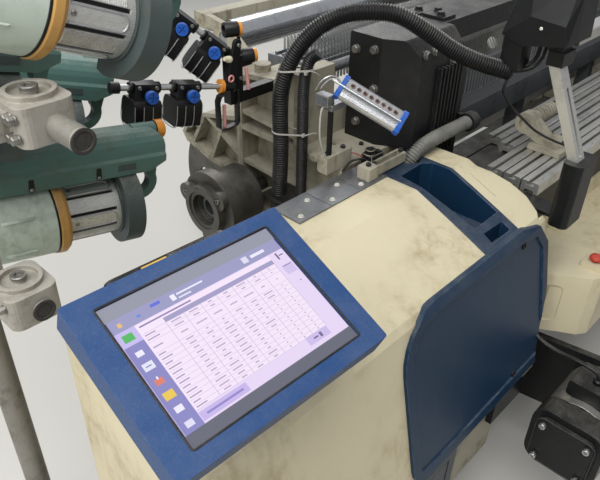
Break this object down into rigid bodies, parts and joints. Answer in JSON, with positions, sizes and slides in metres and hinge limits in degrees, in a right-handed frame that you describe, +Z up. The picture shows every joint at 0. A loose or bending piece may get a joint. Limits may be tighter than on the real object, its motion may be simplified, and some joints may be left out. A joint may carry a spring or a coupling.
{
  "type": "rapier power loom",
  "caption": "Wide rapier weaving machine with moulded side housings, tilting touch terminal, yarn feeders on a stand, rocking reed, heald frames, table rails and warp and cloth beams.",
  "frame": {"origin": "underside of the front left levelling foot, at its middle", "axes": "+X along the weft to the right, +Y away from the weaver towards the warp beam, +Z up"},
  "size_m": [4.82, 2.0069, 1.7639],
  "materials": {
    "casting": "worn satin",
    "black_cast": "matte",
    "feet_steel": "oily satin",
    "rail_aluminium": "brushed",
    "cream_moulding": "satin",
    "navy_moulding": "satin",
    "cabinet_paint": "satin",
    "plate_steel": "brushed",
    "black_plastic": "matte",
    "navy_paint": "fine textured powder coat",
    "screen": "lit flat panel",
    "sensor_aluminium": "brushed",
    "conduit_rubber": "corrugated",
    "grey_hose": "corrugated",
    "motor": "black end, silver body",
    "stand_steel": "dull",
    "clamp_casting": "rough cast",
    "pale_green_shell": "satin",
    "teal_shell": "satin",
    "drum_metal": "brushed",
    "dark_shell": "satin",
    "ochre_ring": "satin",
    "blue_plastic": "satin",
    "orange_ceramic": "glazed",
    "chrome_roller": "polished",
    "rubber_roller": "ground",
    "red_plastic": "satin"
  },
  "bodies": {
    "frame": {"side_frame_left": "casting", "side_frame_right": "casting", "cross_girders": "black_cast", "leveling_feet": "feet_steel", "breast_beam": "black_cast", "table_rails": "rail_aluminium", "housing_left": "cream_moulding", "housing_right": "cream_moulding", "tray_insert": "navy_moulding", "front_panel": "navy_moulding", "inner_cover": "cream_moulding", "front_cover": "cream_moulding", "control_cabinet": "cabinet_paint", "guard_plates": "plate_steel", "rapier_casings": "black_cast", "rear_brackets": "casting", "terminal_post": "cabinet_paint", "weft_sensor": "sensor_aluminium", "sensor_bracket": "casting", "conduit_main": "conduit_rubber", "conduit_rear": "conduit_rubber", "conduit_grey": "grey_hose", "control_hood": "black_plastic", "lamp_frame": "rail_aluminium", "warp_stop_bars": "plate_steel", "temples": "casting", "take_up_motor": "motor", "feeder_stand": "stand_steel", "stand_clamps": "clamp_casting", "feeder_bells": "pale_green_shell", "feeder_spines": "teal_shell", "feeder_drums": "drum_metal", "feeder_front_arms": "dark_shell", "brake_rails": "black_plastic", "brake_boxes": "black_plastic", "yarn_eyelets": "orange_ceramic"},
    "terminal_arm": {"terminal_arm": "black_plastic"},
    "terminal": {"terminal_case": "navy_paint", "terminal_screen": "screen", "terminal_handle": "black_plastic"},
    "stop_button": {"stop_button": "red_plastic"},
    "sley": {"sley": "plate_steel", "reed": "plate_steel"},
    "heald_odd": {"heald_frames_odd": "rail_aluminium"},
    "heald_even": {"heald_frames_even": "rail_aluminium"},
    "whip_roller": {"whip_roller": "chrome_roller"},
    "warp_beam": {"warp_beam": "feet_steel"},
    "cloth_beam": {"cloth_beam": "feet_steel"},
    "take_up_roller": {"take_up_roller": "feet_steel"},
    "press_roller": {"press_roller": "rubber_roller"},
    "drive_pulley": {"drive_pulley": "feet_steel"},
    "rear_coupling": {"rear_coupling": "feet_steel"},
    "feeder_ring_1": {"feeder_ring_1": "ochre_ring"},
    "brake_knob_1": {"brake_knob_1": "blue_plastic"},
    "feeder_ring_2": {"feeder_ring_2": "ochre_ring"},
    "brake_knob_2": {"brake_knob_2": "blue_plastic"},
    "feeder_ring_3": {"feeder_ring_3": "ochre_ring"},
    "brake_knob_3": {"brake_knob_3": "blue_plastic"},
    "feeder_ring_4": {"feeder_ring_4": "ochre_ring"},
    "brake_knob_4": {"brake_knob_4": "blue_plastic"}
  },
  "joints": [
    {"name": "terminal_swivel", "type": "hinge", "parent": "frame", "child": "terminal_arm", "pos_m": [-0.852, 0.016, 1.05], "axis": [0, 0, 1], "range_deg": [-40, 40]},
    {"name": "terminal_tilt", "type": "hinge", "parent": "terminal_arm", "child": "terminal", "pos_m": [-0.85242, 0.00401, 1.092], "axis": [0.9994, -0.0349, 0], "range_deg": [-15, 20]},
    {"name": "stop_press", "type": "slide", "parent": "frame", "child": "stop_button", "axis": [0, 0, -1], "range_m": [0, 0.005], "stiffness_N_per_m": 600, "springref_m": -0.001},
    {"name": "sley_rock", "type": "hinge", "parent": "frame", "child": "sley", "pos_m": [0.32, 0.42, 0.52], "axis": [1, 0, 0], "range_deg": [0, 9]},
    {"name": "shed_odd", "type": "slide", "parent": "frame", "child": "heald_odd", "axis": [0, 0, 1], "range_m": [-0.05, 0.05]},
    {"name": "shed_even", "type": "slide", "parent": "frame", "child": "heald_even", "axis": [0, 0, 1], "range_m": [-0.05, 0.05]},
    {"name": "whip_turn", "type": "hinge", "parent": "frame", "child": "whip_roller", "pos_m": [0.15, 1.15, 1.1], "axis": [1, 0, 0], "continuous": true},
    {"name": "warp_beam_turn", "type": "hinge", "parent": "frame", "child": "warp_beam", "pos_m": [0.15, 1.23, 0.42], "axis": [1, 0, 0], "continuous": true},
    {"name": "cloth_beam_turn", "type": "hinge", "parent": "frame", "child": "cloth_beam", "pos_m": [0.15, 0.02, 0.4], "axis": [1, 0, 0], "continuous": true},
    {"name": "take_up_turn", "type": "hinge", "parent": "frame", "child": "take_up_roller", "pos_m": [0.15, 0.095, 0.64], "axis": [1, 0, 0], "continuous": true},
    {"name": "press_turn", "type": "hinge", "parent": "frame", "child": "press_roller", "pos_m": [0.15, -0.016, 0.64], "axis": [1, 0, 0], "continuous": true},
    {"name": "pulley_turn", "type": "hinge", "parent": "frame", "child": "drive_pulley", "pos_m": [-0.15, -0.024, 0.33], "axis": [1, 0, 0], "continuous": true},
    {"name": "coupling_turn", "type": "hinge", "parent": "frame", "child": "rear_coupling", "pos_m": [-0.15, 0.7, 0.805], "axis": [1, 0, 0], "continuous": true},
    {"name": "feeder_ring_1_turn", "type": "hinge", "parent": "frame", "child": "feeder_ring_1", "pos_m": [-0.874, 0.322, 1.547], "axis": [0.9323, -0.0489, -0.3584], "continuous": true},
    {"name": "feeder_ring_2_turn", "type": "hinge", "parent": "frame", "child": "feeder_ring_2", "pos_m": [-0.788, 0.818, 1.173], "axis": [0.9403, -0.1999, -0.2756], "continuous": true},
    {"name": "feeder_ring_3_turn", "type": "hinge", "parent": "frame", "child": "feeder_ring_3", "pos_m": [-0.8, 0.59, 1.045], "axis": [0.9794, -0.1727, -0.1045], "continuous": true},
    {"name": "feeder_ring_4_turn", "type": "hinge", "parent": "frame", "child": "feeder_ring_4", "pos_m": [-1.021, 0.558, 1.349], "axis": [0.9666, -0.0846, -0.2419], "continuous": true},
    {"name": "brake_knob_1_turn", "type": "hinge", "parent": "frame", "child": "brake_knob_1", "pos_m": [-0.5224, 0.60229, 1.22997], "axis": [-0.1771, -0.9842, 0], "range_deg": [0, 270]},
    {"name": "brake_knob_2_turn", "type": "hinge", "parent": "frame", "child": "brake_knob_2", "pos_m": [-0.42185, 0.5842, 1.21048], "axis": [-0.1771, -0.9842, 0], "range_deg": [0, 270]},
    {"name": "brake_knob_3_turn", "type": "hinge", "parent": "frame", "child": "brake_knob_3", "pos_m": [-0.37983, 0.65743, 1.34169], "axis": [-0.592, -0.8059, 0], "range_deg": [0, 270]},
    {"name": "brake_knob_4_turn", "type": "hinge", "parent": "frame", "child": "brake_knob_4", "pos_m": [-0.32221, 0.6151, 1.28379], "axis": [-0.592, -0.8059, 0], "range_deg": [0, 270]}
  ],
  "couplings": [
    {"joint": "shed_even", "follows": "shed_odd", "ratio": -1},
    {"joint": "press_turn", "follows": "take_up_turn", "ratio": -2}
  ]
}
